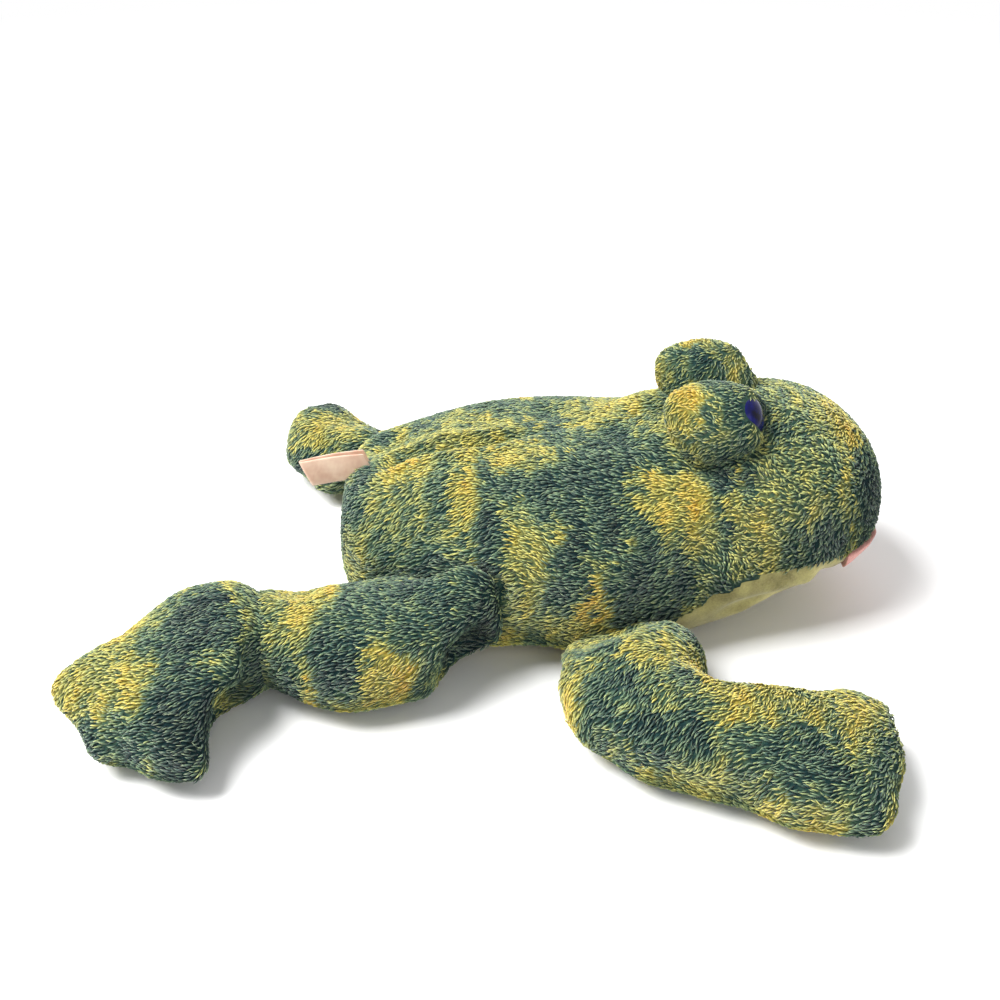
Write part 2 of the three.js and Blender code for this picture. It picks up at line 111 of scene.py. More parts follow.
class Bench:
    # the nodes of one material or world, and the shader among them that gets fed
    def __init__(self, owner, shader="Principled BSDF", **fixed):
        owner.use_nodes = True
        self.owner = owner
        self.tree = owner.node_tree
        self.shader = self.tree.nodes[shader]
        for socket, value in fixed.items():
            self.shader.inputs[socket.replace("_", " ")].default_value = value

    def add(self, kind, settings=None, inputs=None, output=0):
        node = self.tree.nodes.new(kind)
        for name, value in (settings or {}).items():
            if name == "stops":
                ramp = node.color_ramp
                while len(ramp.elements) < len(value):
                    ramp.elements.new(0.5)
                for element, (at, color) in zip(ramp.elements, value):
                    element.position = at
                    element.color = color
            else:
                setattr(node, name, value)
        for name, value in (inputs or {}).items():
            if isinstance(value, Wire):
                self.tree.links.new(value.socket, node.inputs[name])
            else:
                node.inputs[name].default_value = value
        return Wire(self, node.outputs[output])

    def feed(self, name, wire):
        self.tree.links.new(wire.socket, self.shader.inputs[name])

    def objectPlace(self):
        return self.add("ShaderNodeTexCoord", output=3)

    def attribute(self, name, output):
        return self.add("ShaderNodeAttribute", {"attribute_name": name}, output=output)

    def vector(self, operation, *values, output=0):
        return self.add("ShaderNodeVectorMath", {"operation": operation}, dict(enumerate(values)), output)

    def noise(self, place, size, detail=2, rough=0.5, stretch=(1, 1, 1)):
        scale = [1 / (size * mm * s) for s in stretch]
        spot = self.add("ShaderNodeMapping", None, {"Vector": place, "Scale": scale})
        return self.add("ShaderNodeTexNoise", None,
                        {"Vector": spot, "Scale": 1, "Detail": detail, "Roughness": rough})

    def between(self, value, low, high):
        return self.add("ShaderNodeMapRange", {"interpolation_type": "SMOOTHSTEP"},
                        {"Value": value, "From Min": low, "From Max": high})

    def ramp(self, stops, value):
        return self.add("ShaderNodeValToRGB", {"stops": stops}, {0: value})

    def mix(self, share, first, second, blend="MIX"):
        return self.add("ShaderNodeMix", {"data_type": "RGBA", "blend_type": blend},
                        {0: share, 6: first, 7: second}, 2)

    def shade(self, color, light):
        grey = self.add("ShaderNodeCombineColor", None, {"Red": light, "Green": light, "Blue": light})
        return self.mix(1, color, grey, "MULTIPLY")

    def bump(self, height, distance, strength=1):
        self.feed("Normal", self.add("ShaderNodeBump", None,
                  {"Height": height, "Distance": distance * mm, "Strength": strength}))

    def seen(self):
        # 1 for the rays that show in the picture, 0 for those that only carry light
        return sum(self.add("ShaderNodeLightPath", output=kind)
                   for kind in ("Is Camera Ray", "Is Glossy Ray", "Is Transmission Ray"))


def newLook(name, **fixed):
    return Bench(bpy.data.materials.new(name), **fixed)


# The dye runs from deep teal through grey green and lime to gold
dye = {
    "colors": [
        (0.0, paint(27, 58, 62)),
        (0.22, paint(47, 84, 82)),
        (0.42, paint(92, 124, 98)),
        (0.58, paint(160, 168, 98)),
        (0.76, paint(214, 200, 92)),
        (1.0, paint(222, 178, 54)),
    ],
    "middle": 0.45,
    "bandSize": 11,
    "bandStretch": (1, 2.6, 2.8),
    "bandPull": 1.5,
    "streakSize": 4.5,
    "streakPull": 0.95,
    "speckSize": 2.2,
    "speckPull": 0.5,
    "edgeSize": 3.6,
    "edgePull": 1.8,
    "fraySize": 1.3,
    "frayStretch": (3, 1, 1),
    "frayPull": 1.5,
    "patchEdge": (1.4, 0.7),
    "patchCover": 0.8,
}
# Ground weave: its size and bump height, and painted shade on the skin under the locks, a lower tone and a
# low brightness
weaveAndShadeForm = {"size": 0.8, "shadeDarker": 0.08, "contrast": 0.5, "least": 0.14, "height": 0.5}
# Locks: a painted highlight pales and yellows each tip, painted shade darkens each root, and each lock's tint
# varies its tone and brightness at random
lockTonesAndLight = {
    "tipHighlightTone": 0.17,
    "tintTone": 0.16,
    "tipHighlight": paint(196, 204, 150),
    "tipHighlightTint": 0.5,
    "tipHighlightLeast": 0.12,
    "rootShade": (-0.1, 0.8),
    "tipLight": 0.95,
    "tintLight": 0.3,
    "shadeDarker": 0.06,
}

# Patches of dye, one on the hind leg also deepened into painted shade: middle, half size and tone, in
# millimetres; tone 0 is teal and 1 is gold
torsoPatches = [
    ((-10, 4, 45), (20, 12, 9), 0.62),
    ((28, 8, 48), (9, 12, 8), 0.7),
    ((6, -13, 46), (9, 7, 6), 0.76),
    ((-8, -26, 41), (4.6, 12, 8), 0.74),
    ((7, -40, 35), (5.2, 6, 12), 0.66),
    ((26, -46, 23), (8, 8, 7), 0.96),
    ((-26, -9, 41), (6, 6, 5), 0.84),
    ((-33, -24, 33), (6, 10, 9), 0.5),
    ((-21, -33, 32), (6, 12, 12), 0.44),
    ((-2, -36, 33), (4, 10, 14), 0.14),
    ((-13, -39, 28), (9, 5, 5), 0.2),
    ((24, -26, 42), (11, 16, 12), 0.1),
    ((18, -44, 30), (5, 8, 10), 0.14),
    ((40, -43, 24), (13, 8, 11), 0.08),
    ((36, -10, 48), (8, 9, 6), 0.22),
    ((44, -27, 44), (9, 8, 8), 0.86),
    ((64, -31, 42), (6, 7, 8), 0.8),
    ((78, -24, 48), (13, 14, 14), 0.52),
    ((84, -31, 28), (9, 9, 7), 0.2),
    ((99, -14, 38), (7, 14, 12), 0.1),
    ((76, 2, 57), (12, 14, 6), 0.5),
    ((58, -36, 30), (7, 6, 8), 0.5),
    ((-18, 30, 34), (7, 14, 14), 0.16),
    ((0, 38, 33), (5, 10, 14), 0.84),
    ((20, 34, 38), (10, 14, 14), 0.14),
    ((40, 40, 30), (7, 10, 14), 0.7),
    ((62, 32, 38), (8, 9, 12), 0.8),
    ((82, 26, 44), (8, 10, 10), 0.3),
]
domePatches = [
    ((54, -22, 60), (7, 6, 7), 0.44),
    ((46, -17, 63), (6, 8, 6), 0.8),
    ((51, 5, 66), (7, 7, 6), 0.26),
    ((44, 12, 60), (4, 8, 6), 0.6),
    ((53, 22, 60), (7, 6, 7), 0.2),
]
hindLegDyeAndShadePatches = [
    ((-46, -44, 25), (7, 6, 5), 0.8),
    ((-50, -53, 24), (9, 10, 7), 0.66),
    ((-28, -66, 15), (7, 8, 9), 0.84),
    ((-40, -64, 18), (6, 10, 10), 0.08),
    ((-18, -50, 26), (8, 9, 8), 0.18),
    ((-33, -52, 26), (6, 8, 6), 0.36),
    ((-12, -43, 27), (9, 7, 6), 0.2),
    # below teal: the darkest dye, deepened as painted shade in the hollow between hind leg, body and foreleg
    ((-9, -48, 15), (8, 9, 9), -0.16),
    ((-8, 60, 20), (8, 10, 8), 0.8),
    ((8, 58, 20), (7, 10, 8), 0.2),
]
footPatches = [
    ((-73, -56, 24), (8, 11, 8), -0.06),
    ((-72, -82, 16), (8, 13, 12), -0.08),
    ((-94, -72, 18), (11, 10, 9), 0.76),
    ((-104, -66, 12), (6, 9, 8), 0.62),
    ((-88, -88, 10), (9, 7, 8), 0.34),
    ((-62, -66, 20), (5, 9, 8), 0.34),
    ((-56, 50, 19), (8, 9, 8), 0.72),
    ((-38, 40, 18), (7, 12, 8), 0.2),
    ((-60, 40, 14), (5, 7, 7), 0.2),
    ((-64, 58, 14), (6, 9, 8), 0.62),
]
forelegPatches = [
    ((38, -66, 22), (12, 8, 6), 0.76),
    ((18, -70, 16), (4, 10, 8), 0.76),
    ((27, -79, 20), (8, 10, 7), 0.14),
    ((26, -60, 20), (8, 6, 6), 0.3),
    ((39, -92, 19), (10, 7, 7), 0.14),
    ((58, -84, 21), (11, 8, 6), 0.72),
    ((78, -82, 19), (14, 9, 7), 0.68),
    ((68, -99, 18), (9, 7, 7), 0.16),
    ((86, -97, 16), (6, 8, 8), 0.4),
    ((71, -105, 6), (6, 6, 5), 0.84),
    ((46, -100, 12), (8, 6, 7), 0.56),
    ((40, 60, 20), (10, 10, 8), 0.78),
    ((66, 62, 20), (9, 10, 8), 0.16),
    ((92, 62, 18), (9, 10, 8), 0.66),
]


def dyeTone(bench, place, patches):
    def wave(name, rough=0.6, stretch=(1, 1, 1)):
        spread = bench.noise(place, dye[name + "Size"], rough=rough, stretch=stretch) - 0.5
        return spread * dye[name + "Pull"]

    wobble = wave("edge") + wave("fray", stretch=dye["frayStretch"])
    tone = wave("band", 0.5, dye["bandStretch"]) + dye["middle"]
    for middle, half, patchTone in patches:
        away = bench.vector("SUBTRACT", place, [c * mm for c in middle])
        away = bench.vector("DIVIDE", away, [c * mm for c in half])
        mask = bench.between(bench.vector("LENGTH", away, output=1) + wobble, *dye["patchEdge"])
        tone = tone + (patchTone - tone) * (mask * dye["patchCover"])
    return tone + wave("speck") + wave("streak", stretch=dye["bandStretch"])


def dyedSkinInPaintedShade(name, patches):
    # the ground weave seen between the locks, its dye lowered and dimmed as painted shade under the locks
    bench = newLook(name, Roughness=0.95, Specular_IOR_Level=0.15)
    place = bench.objectPlace()
    weave = bench.noise(place, weaveAndShadeForm["size"], detail=3, rough=0.6)
    # painted shade under the locks: the tone drops, and the brightness stays low with the weave's grain in it
    color = bench.ramp(dye["colors"], dyeTone(bench, place, patches) - weaveAndShadeForm["shadeDarker"])
    bench.feed("Base Color", bench.shade(color, weave * weaveAndShadeForm["contrast"] + weaveAndShadeForm["least"]))
    bench.bump(weave, weaveAndShadeForm["height"])
    return bench.owner


def dyedCoatWithPaintedLight(name, patches):
    # the locks: painted shade darkens them at the root, and a painted highlight pales them at the tip
    bench = newLook(name, Roughness=0.72, Specular_IOR_Level=0.25, Sheen_Weight=0.25, Sheen_Roughness=0.4)
    rise = bench.attribute("rise", 2)
    tint = bench.attribute("tint", 2)
    tone = dyeTone(bench, bench.attribute("rootPlace", 1), patches)
    # the tip shifts towards gold as a painted highlight; the tint shifts the tone at random
    tone = tone + rise * rise * lockTonesAndLight["tipHighlightTone"] + (tint - 0.5) * lockTonesAndLight["tintTone"]
    # a painted highlight: the tip mixes towards a pale yellow green
    tipHighlighted = rise * rise * (tint * lockTonesAndLight["tipHighlightTint"] + lockTonesAndLight["tipHighlightLeast"])
    color = bench.mix(tipHighlighted, bench.ramp(dye["colors"], tone), lockTonesAndLight["tipHighlight"])
    # painted shade at the root, rising to painted light at the tip, with a random lift from the tint
    light = bench.between(rise, *lockTonesAndLight["rootShade"]) * lockTonesAndLight["tipLight"]
    light = light + tint * lockTonesAndLight["tintLight"] - lockTonesAndLight["shadeDarker"]
    bench.feed("Base Color", bench.shade(color, light))
    return bench.owner


def velourLook():
    bench = newLook("bellyVelour", Roughness=0.85, Specular_IOR_Level=0.2, Sheen_Weight=0.3)
    place = bench.objectPlace()
    mottle = bench.noise(place, size=9, detail=3, rough=0.55)
    nap = bench.noise(place, size=0.55, detail=3, rough=0.7)
    colors = [(0.3, paint(118, 112, 66)), (0.5, paint(156, 148, 92)), (0.72, paint(186, 178, 112))]
    bench.feed("Base Color", bench.ramp(colors, mottle + (nap - 0.5) * 0.5))
    bench.bump(nap, distance=0.25, strength=0.7)
    return bench.owner


def feltLook():
    bench = newLook("mouthFelt", Roughness=0.95, Specular_IOR_Level=0.15, Sheen_Weight=0.2)
    fibres = bench.noise(bench.objectPlace(), size=0.4, detail=4, rough=0.7, stretch=(1, 3, 1))
    bench.feed("Base Color", bench.ramp([(0.3, paint(190, 126, 118)), (0.7, paint(226, 172, 162))], fibres))
    bench.bump(fibres, distance=0.2, strength=0.6)
    return bench.owner


def satinLook():
    bench = newLook("labelSatin", Roughness=0.42, Specular_IOR_Level=0.45, Sheen_Weight=0.15)
    place = bench.objectPlace()
    ribs = bench.add("ShaderNodeTexWave", {"bands_direction": "X"},
                     {"Vector": place, "Scale": 900, "Distortion": 1.5})
    shade = bench.noise(place, size=4) + (ribs - 0.5) * 0.12
    bench.feed("Base Color", bench.ramp([(0.3, paint(226, 184, 160)), (0.65, paint(246, 216, 192))], shade))
    bench.bump(ribs, distance=0.05, strength=0.5)
    return bench.owner


def eyeLook():
    bench = newLook("eyePlastic", Roughness=0.1, Specular_IOR_Level=0.14,
                    Coat_Weight=0.04, Coat_Roughness=0.03)
    cloud = bench.noise(bench.objectPlace(), size=3)
    bench.feed("Base Color", bench.ramp([(0.35, paint(6, 7, 30)), (0.7, paint(17, 22, 96))], cloud))
    return bench.owner


def fillLook(name, low, high, size, roughness):
    bench = newLook(name, Roughness=roughness)
    beads = bench.add("ShaderNodeTexVoronoi", None, {"Vector": bench.objectPlace(), "Scale": 1 / (size * mm)})
    bench.feed("Base Color", bench.ramp([(0, high), (0.7, low)], beads))
    bench.bump(1 - beads, distance=size / 3)
    return bench.owner


skinLooks, coatLooks = {}, {}
for kind, name, patches in (
        ("torso", "torso", torsoPatches),
        ("dome", "dome", domePatches),
        ("hind_leg", "hindLeg", hindLegDyeAndShadePatches),
        ("hind_foot", "foot", footPatches),
        ("foreleg", "foreleg", forelegPatches)):
    skinLooks[kind] = dyedSkinInPaintedShade(name + "Skin", patches)
    coatLooks[kind] = dyedCoatWithPaintedLight(name + "Coat", patches)
velour, felt, satin, eyePlastic = velourLook(), feltLook(), satinLook(), eyeLook()
pelletLook = fillLook("pelletFill", paint(196, 190, 178), paint(236, 232, 222), size=2.6, roughness=0.5)
fibreLook = fillLook("fibreFill", paint(222, 219, 210), paint(250, 249, 244), size=1.4, roughness=1.0)
washerLook = fillLook("washerPlastic", paint(226, 222, 212), paint(238, 235, 226), size=3.0, roughness=0.45)
print("materials ready")


# Tools for soft pieces
def deselectAll():
    if bpy.context.mode != "OBJECT":
        bpy.ops.object.mode_set(mode="OBJECT")
    bpy.ops.object.select_all(action="DESELECT")


def pick(piece):
    deselectAll()
    piece.select_set(True)
    bpy.context.view_layer.objects.active = piece


def useModifier(piece, kind, **settings):
    pick(piece)
    modifier = piece.modifiers.new(kind.title(), kind)
    for name, value in settings.items():
        setattr(modifier, name, value)
    bpy.ops.object.modifier_apply(modifier=modifier.name)


def remesh(piece, voxel):
    useModifier(piece, "REMESH", mode="VOXEL", voxel_size=voxel * mm, use_smooth_shade=True)


def shrink(piece, depth):
    useModifier(piece, "DISPLACE", strength=-depth * mm, mid_level=0)


def subdivide(piece):
    useModifier(piece, "SUBSURF", levels=1, render_levels=1)


def applyPlace(piece):
    pick(piece)
    bpy.ops.object.transform_apply(location=True, rotation=True, scale=True)


def copyOf(piece):
    # a copy that no longer stands for the piece's node
    copy = piece.copy()
    copy.data = piece.data.copy()
    copy.parent = None
    for key in list(copy.keys()):
        del copy[key]
    scene.collection.objects.link(copy)
    return copy


def readPoints(piece):
    points = np.empty(len(piece.data.vertices) * 3)
    piece.data.vertices.foreach_get("co", points)
    return points.reshape(-1, 3)


def readNormals(piece):
    normals = np.empty(len(piece.data.vertices) * 3)
    piece.data.vertices.foreach_get("normal", normals)
    return normals.reshape(-1, 3)


def writePoints(piece, points):
    piece.data.vertices.foreach_set("co", points.ravel())
    piece.data.update()


def rootPad(place, half, turn):
    # a rounded wad that fills the crease where a limb is sewn on
    deselectAll()
    bpy.ops.mesh.primitive_uv_sphere_add(segments=24, ring_count=14, radius=mm,
                                         location=[c * mm for c in place],
                                         rotation=(0, 0, math.radians(turn)))
    pad = bpy.context.object
    pad.scale = half
    applyPlace(pad)
    return pad


# How a bag is blown up: it starts smaller, and no point moves further than the cap
sewing = {"voxel": 3, "smooth": 2, "start": 0.4, "pressure": 4, "frames": 20, "cap": 1.7, "leastReach": 0.001}
fillForm = {"gap": 2.3, "voxel": 2.2, "fromSeam": 1, "fromNeck": 0.2, "fromWasher": 0.3}
floorGap = {"skin": 0.4, "lock": 0.3}


def inflate(skin):
    start = readPoints(skin)
    pick(skin)
    modifier = skin.modifiers.new("Cloth", "CLOTH")
    modifier.settings.use_pressure = True
    modifier.settings.uniform_pressure_force = sewing["pressure"]
    modifier.settings.effector_weights.gravity = 0
    modifier.point_cache.frame_start = 1
    modifier.point_cache.frame_end = sewing["frames"]
    for number in range(1, sewing["frames"] + 1):
        scene.frame_set(number)
    bpy.ops.object.modifier_apply(modifier=modifier.name)
    scene.frame_set(1)
    moved = readPoints(skin) - start
    reach = np.linalg.norm(moved, axis=1)[:, None] / mm
    writePoints(skin, start + moved * np.minimum(1, sewing["cap"] / np.maximum(reach, sewing["leastReach"])))


def largestPiece(skin, name):
    pick(skin)
    bpy.ops.object.mode_set(mode="EDIT")
    bpy.ops.mesh.select_all(action="SELECT")
    bpy.ops.mesh.separate(type="LOOSE")
    bpy.ops.object.mode_set(mode="OBJECT")
    parts = sorted(bpy.context.selected_objects, key=lambda o: len(o.data.vertices))
    for part in parts[:-1]:
        bpy.data.objects.remove(part)
    parts[-1].name = name
    parts[-1].data.name = name
    return parts[-1]


def joinCopies(name, nodeNames, voxel, smooth, pads=()):
    # copies of some nodes and pads, joined and remeshed into one skin
    copies = [rootPad(*pad) for pad in pads] + [copyOf(nodes[nodeName]) for nodeName in nodeNames]
    deselectAll()
    for copy in copies:
        copy.select_set(True)
    bpy.context.view_layer.objects.active = copies[-1]
    bpy.ops.object.join()
    skin = bpy.context.object
    skin.name = name
    skin.data.name = name
    bpy.ops.object.mode_set(mode="EDIT")
    bpy.ops.mesh.select_all(action="SELECT")
    bpy.ops.mesh.remove_doubles(threshold=0.00001)
    bpy.ops.object.mode_set(mode="OBJECT")
    remesh(skin, voxel)
    skin = largestPiece(skin, name)
    useModifier(skin, "SMOOTH", factor=0.5, iterations=smooth)
    return skin


def sewBag(name, nodeNames, pads=()):
    skin = joinCopies(name, nodeNames, sewing["voxel"], sewing["smooth"], pads)
    shrink(skin, sewing["start"])
    inflate(skin)
    subdivide(skin)
    return skin


def grab(piece, pulls):
    # moves what lies within reach of a place, most at its middle: (place, reach, move) in millimetres
    points = readPoints(piece)
    for place, reach, move in pulls:
        away = np.linalg.norm(points - np.array(place) * mm, axis=1) / (reach * mm)
        share = np.clip(1 - away * away, 0, 1) ** 2
        points += share[:, None] * np.array(move) * mm
    writePoints(piece, points)


# A fold fades out at its ends and raises a roll of cloth beside it, placed and sized in shares of the fold
foldForm = {"fade": 5, "endShare": 0.25, "rollPlace": 1.9, "rollSharpness": 1.4, "rollHeight": 0.35}


def crease(piece, line, width, depth):
    # presses a fold into a piece along a line of places
    points = readPoints(piece)
    line = np.array(line) * mm
    nearest = np.full(len(points), 1e9)
    along = np.zeros(len(points))
    for i, (start, end) in enumerate(zip(line[:-1], line[1:])):
        step = end - start
        share = np.clip((points - start) @ step / (step @ step), 0, 1)
        away = np.linalg.norm(points - start - share[:, None] * step, axis=1)
        closer = away < nearest
        nearest[closer] = away[closer]
        along[closer] = (i + share[closer]) / (len(line) - 1)
    fade = np.clip(np.minimum(along, 1 - along) * foldForm["fade"] + foldForm["endShare"], 0, 1)
    widths = nearest / (width * mm)
    press = np.exp(-(widths ** 2)) * fade
    roll = np.exp(-((widths - foldForm["rollPlace"]) ** 2) * foldForm["rollSharpness"])
    roll = roll * fade * foldForm["rollHeight"]
    writePoints(piece, points + readNormals(piece) * ((roll - press) * depth * mm)[:, None])


def shape(piece, form):
    grab(piece, form["pulls"])
    for fold in form.get("folds", ()):
        crease(piece, *fold)


def finishSkin(piece, look, body, replaced, rounded=True):
    if rounded:
        subdivide(piece)
    points = readPoints(piece)
    points[:, 2] = np.maximum(points[:, 2], floorGap["skin"] * mm)
    writePoints(piece, points)
    pick(piece)
    bpy.ops.object.shade_smooth()
    piece.data.materials.clear()
    piece.data.materials.append(look)
    if body:
        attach(piece, body)
    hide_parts(*replaced)


def addFilling(name, skin, nodeName, look, cuts, body=None):
    # loose filling that follows its bag inside the cloth, cut off at the seams: (place, direction kept)
    filling = copyOf(skin)
    shrink(filling, fillForm["gap"])
    remesh(filling, fillForm["voxel"])
    filling = largestPiece(filling, name)
    bpy.ops.object.mode_set(mode="EDIT")
    for place, direction in cuts:
        bpy.ops.mesh.select_all(action="SELECT")
        bpy.ops.mesh.bisect(plane_co=place, plane_no=direction, use_fill=True, clear_inner=True)
    bpy.ops.object.mode_set(mode="OBJECT")
    remesh(filling, fillForm["voxel"])
    filling = largestPiece(filling, name)
    finishSkin(filling, look, body, [nodeName])
    return filling


def treeOf(piece):
    return BVHTree.FromObject(piece, bpy.context.evaluated_depsgraph_get())


def isInside(tree, point, least):
    hit, normal, _, _ = tree.find_nearest(point)
    return hit is not None and (point - hit).dot(normal) < -least


def clearOf(covers, depth):
    # a test that a place doesn't lie this many millimetres deep in any of the bags
    return lambda place: not any(isInside(tree, place, depth * mm) for tree in covers)


# One lock of plush, modelled once along X and copied over every coat
lockShape = {"sides": 3, "cuts": (0.3, 0.66), "fullness": (0.62, 1.0, 0.7), "ringReach": 0.02}

deselectAll()
bpy.ops.mesh.primitive_cone_add(vertices=lockShape["sides"], radius1=1, radius2=0, depth=1,
                                location=(0.5, 0, 0), rotation=(0, math.radians(90), 0))
lock = bpy.context.object
applyPlace(lock)
bpy.ops.object.mode_set(mode="EDIT")
for cut in lockShape["cuts"]:
    bpy.ops.mesh.select_all(action="SELECT")
    bpy.ops.mesh.bisect(plane_co=(cut, 0, 0), plane_no=(1, 0, 0))
bpy.ops.object.mode_set(mode="OBJECT")
useModifier(lock, "TRIANGULATE")
lockPoints = readPoints(lock)
for at, full in zip((0, *lockShape["cuts"]), lockShape["fullness"]):
    ring = np.abs(lockPoints[:, 0] - at) < lockShape["ringReach"]
    lockPoints[ring, 1:] *= full / (1 - at)
lockFaces = np.array([list(face.vertices) for face in lock.data.polygons])
lockAngles = np.arctan2(lockPoints[:, 2], lockPoints[:, 1])
lockMap = []
for face in lockFaces:
    middle = lockPoints[face].mean(axis=0)
    facing = math.atan2(middle[2], middle[1])
    for corner in face:
        turn = (lockAngles[corner] - facing + math.pi) % (2 * math.pi) - math.pi
        if np.abs(lockPoints[corner, 1:]).max() < 1e-6:
            turn = 0
        column = (facing + turn) / (2 * math.pi) + 0.5
        lockMap.append((min(max(column, 0), 1), lockPoints[corner, 0]))
lockMap = np.array(lockMap)
bpy.data.objects.remove(lock)

# How the locks of one coat differ: shares of its length, width, lift and stray, with places in millimetres
lockWays = {
    "tries": 2.6,
    "lengths": (0.7, 1.2),
    "widths": (0.8, 1.25),
    "lifts": (0.6, 1.35),
    "curlRun": 14,
    "curlStray": 1.2,
    "curlShorter": 0.18,
    "curlWider": 0.15,
    "snoutFrom": 94,
    "snoutRun": 8,
    "snoutStray": 1.5,
    "wave": 7,
    "ripple": 1.3,
    "rippleSeed": 50,
    "rippleShare": 0.6,
    "looseShare": 0.35,
    "sway": 0.16,
    "arch": 1.25,
    "sunk": 0.2,
    "thickness": 0.8,
    "leastComb": 0.0001,
    "mapMargin": 0.12,
}
waverForm = {"waves": 7, "turn": 6.3, "scale": 3.2}


def scatter(piece, spacing, random, keep):
    # places on a piece that lie at least `spacing` apart
    mesh = piece.data
    mesh.calc_loop_triangles()
    corners = np.empty(len(mesh.loop_triangles) * 3, np.int32)
    mesh.loop_triangles.foreach_get("vertices", corners)
    corners = corners.reshape(-1, 3)
    points = readPoints(piece)
    normals = readNormals(piece)
    a, b, c = (points[corners[:, i]] for i in range(3))
    areas = np.linalg.norm(np.cross(b - a, c - a), axis=1) / 2
    count = int(areas.sum() / (spacing * mm) ** 2 * lockWays["tries"])
    chosen = random.choice(len(areas), count, p=areas / areas.sum())
    u, v = random.random((2, count, 1))
    over = (u + v) > 1
    u, v = np.where(over, 1 - u, u), np.where(over, 1 - v, v)
    places = a[chosen] * (1 - u - v) + b[chosen] * u + c[chosen] * v
    facing = (normals[corners[chosen, 0]] * (1 - u - v) + normals[corners[chosen, 1]] * u
              + normals[corners[chosen, 2]] * v)
    facing /= np.linalg.norm(facing, axis=1)[:, None]
    cells, found = {}, []
    least = (spacing * mm) ** 2
    for i, place in enumerate(places):
        key = tuple((place // (spacing * mm)).astype(int))
        near = (cells.get((key[0] + x, key[1] + y, key[2] + z), ())
                for x in (-1, 0, 1) for y in (-1, 0, 1) for z in (-1, 0, 1))
        if any(((place - places[j]) ** 2).sum() < least for group in near for j in group):
            continue
        cells.setdefault(key, []).append(i)
        found.append(i)
    kept = [i for i in found if keep(Vector(places[i]))]
    return places[kept], facing[kept]


def waver(places, size, seed):
    # a smooth random value, about -1 to 1, at each place
    random = np.random.default_rng(seed)
    value = np.zeros(len(places))
    for _ in range(waverForm["waves"]):
        direction = random.normal(size=3)
        value += np.sin(places @ direction / (size * mm) + random.random() * waverForm["turn"])
    return value / waverForm["scale"]


def rising(values, start, run):
    # 0 up to the start and 1 from the end of the run, both in millimetres
    return np.clip((values - start * mm) / (run * mm), 0, 1)


def lockMesh(name, points, places, tints):
    # one mesh of many locks, each with its root's place, its rise, its tint and a cell of the map
    count, size, faceSize = len(places), len(lockPoints), len(lockFaces)
    faces = (lockFaces[None] + (np.arange(count) * size)[:, None, None]).reshape(-1)
    mesh = bpy.data.meshes.new(name)
    mesh.vertices.add(count * size)
    mesh.vertices.foreach_set("co", points.reshape(-1))
    mesh.loops.add(len(faces))
    mesh.loops.foreach_set("vertex_index", faces.astype(np.int32))
    mesh.polygons.add(count * faceSize)
    mesh.polygons.foreach_set("loop_start", np.arange(0, len(faces), 3, dtype=np.int32))
    mesh.polygons.foreach_set("use_smooth", np.ones(count * faceSize, bool))
    mesh.update(calc_edges=True)
    for attribute, kind, field, values in (
            ("rootPlace", "FLOAT_VECTOR", "vector", np.repeat(places, size, axis=0).ravel()),
            ("rise", "FLOAT", "value", np.tile(lockPoints[:, 0], count)),
            ("tint", "FLOAT", "value", np.repeat(tints, size))):
        mesh.attributes.new(attribute, kind, "POINT").data.foreach_set(field, values)
    across = math.ceil(math.sqrt(count))
    cell = np.stack([np.arange(count) % across, np.arange(count) // across], axis=1)
    margin = lockWays["mapMargin"]
    spots = (cell[:, None] + margin + (1 - 2 * margin) * lockMap[None]) / across
    mesh.uv_layers.new(name="OFBake").data.foreach_set("uv", spots.reshape(-1))
    return mesh


def growCoat(name, piece, look, coat, keep):
    random = np.random.default_rng(coat["seed"])
    places, facing = scatter(piece, coat["spacing"], random, keep)
    count = len(places)
    curly = rising(places[:, 0], coat["curlFrom"], lockWays["curlRun"]) if "curlFrom" in coat else 0
    snout = rising(places[:, 0], lockWays["snoutFrom"], lockWays["snoutRun"])
    swing = np.radians(coat["stray"]) * (1 + lockWays["curlStray"] * curly)
    swing = swing * (1 + lockWays["snoutStray"] * snout)
    ripples = waver(places, lockWays["ripple"], coat["seed"] + lockWays["rippleSeed"])
    turn = waver(places, lockWays["wave"], coat["seed"]) + ripples * lockWays["rippleShare"]
    turn = (turn + random.normal(size=count) * lockWays["looseShare"]) * swing
    comb = np.tile(np.array(coat["comb"], float), (count, 1))
    comb -= facing * (comb * facing).sum(axis=1)[:, None]
    comb += lockWays["leastComb"]
    comb /= np.linalg.norm(comb, axis=1)[:, None]
    across = np.cross(facing, comb)
    along = comb * np.cos(turn)[:, None] + across * np.sin(turn)[:, None]
    across = np.cross(facing, along)
    length = coat["length"] * mm * random.uniform(*lockWays["lengths"], count)
    length = (length * (1 - lockWays["curlShorter"] * curly))[:, None]
    width = coat["width"] * mm * random.uniform(*lockWays["widths"], count)
    width = (width * (1 + lockWays["curlWider"] * curly))[:, None]
    lift = (coat["lift"] * mm * random.uniform(*lockWays["lifts"], count))[:, None]
    run, wide, thick = lockPoints.T[:, None]
    sway = random.normal(size=(count, 1)) * lockWays["sway"] * length * run * run
    up = lift * 2 * run * (lockWays["arch"] - run) - lockWays["sunk"] * mm
    up = up + thick * width * lockWays["thickness"]
    points = (places[:, None] + along[:, None] * (run * length)[..., None]
              + across[:, None] * (wide * width + sway)[..., None] + facing[:, None] * up[..., None])
    points[..., 2] = np.maximum(points[..., 2], floorGap["lock"] * mm)
    mesh = lockMesh(name, points, places, random.random(count))
    mesh.materials.append(look)
    grown = bpy.data.objects.new(name, mesh)
    scene.collection.objects.link(grown)
    print(name, count, "locks", len(mesh.polygons), "triangles")
    return grown


